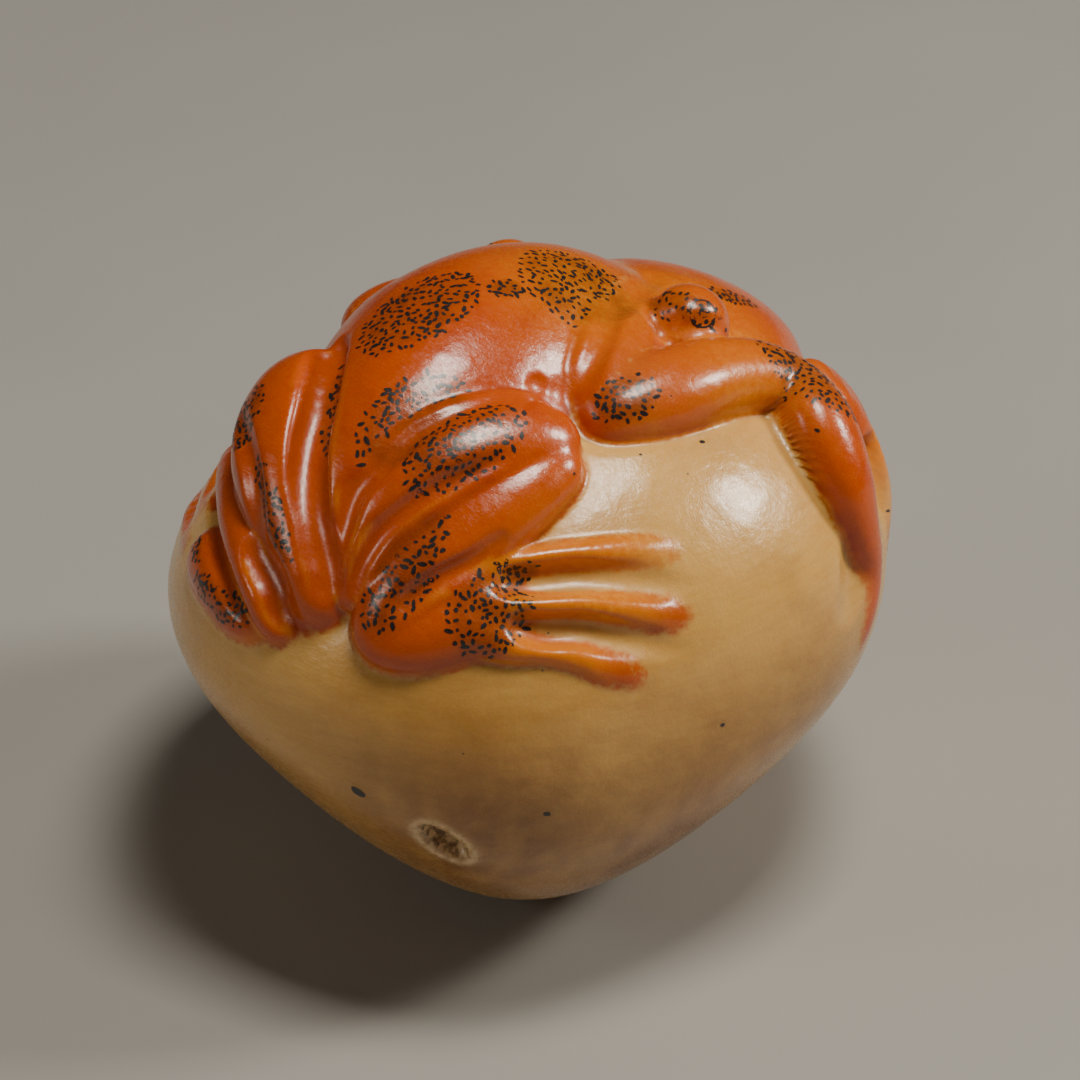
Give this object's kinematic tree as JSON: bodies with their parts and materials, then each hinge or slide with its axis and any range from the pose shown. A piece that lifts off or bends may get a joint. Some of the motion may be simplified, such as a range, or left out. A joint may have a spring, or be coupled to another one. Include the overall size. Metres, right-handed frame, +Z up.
{
  "type": "tagua frog carving",
  "caption": "Palm-sized carved tagua nut with a crouching frog in relief over its top, standing on a small flat spot under the nut.",
  "frame": {"origin": "centre of the carving's bounding box, at the level of the flat spot it stands on", "axes": "+Z up, the frog's head points to -Y, the frog's right side is -X"},
  "size_m": [0.0488, 0.052, 0.0448],
  "materials": {
    "carved_tagua": "polished, dyed orange over the frog and left cream on the bare nut"
  },
  "bodies": {
    "root": {"tagua_frog_carving": "carved_tagua"}
  },
  "joints": []
}
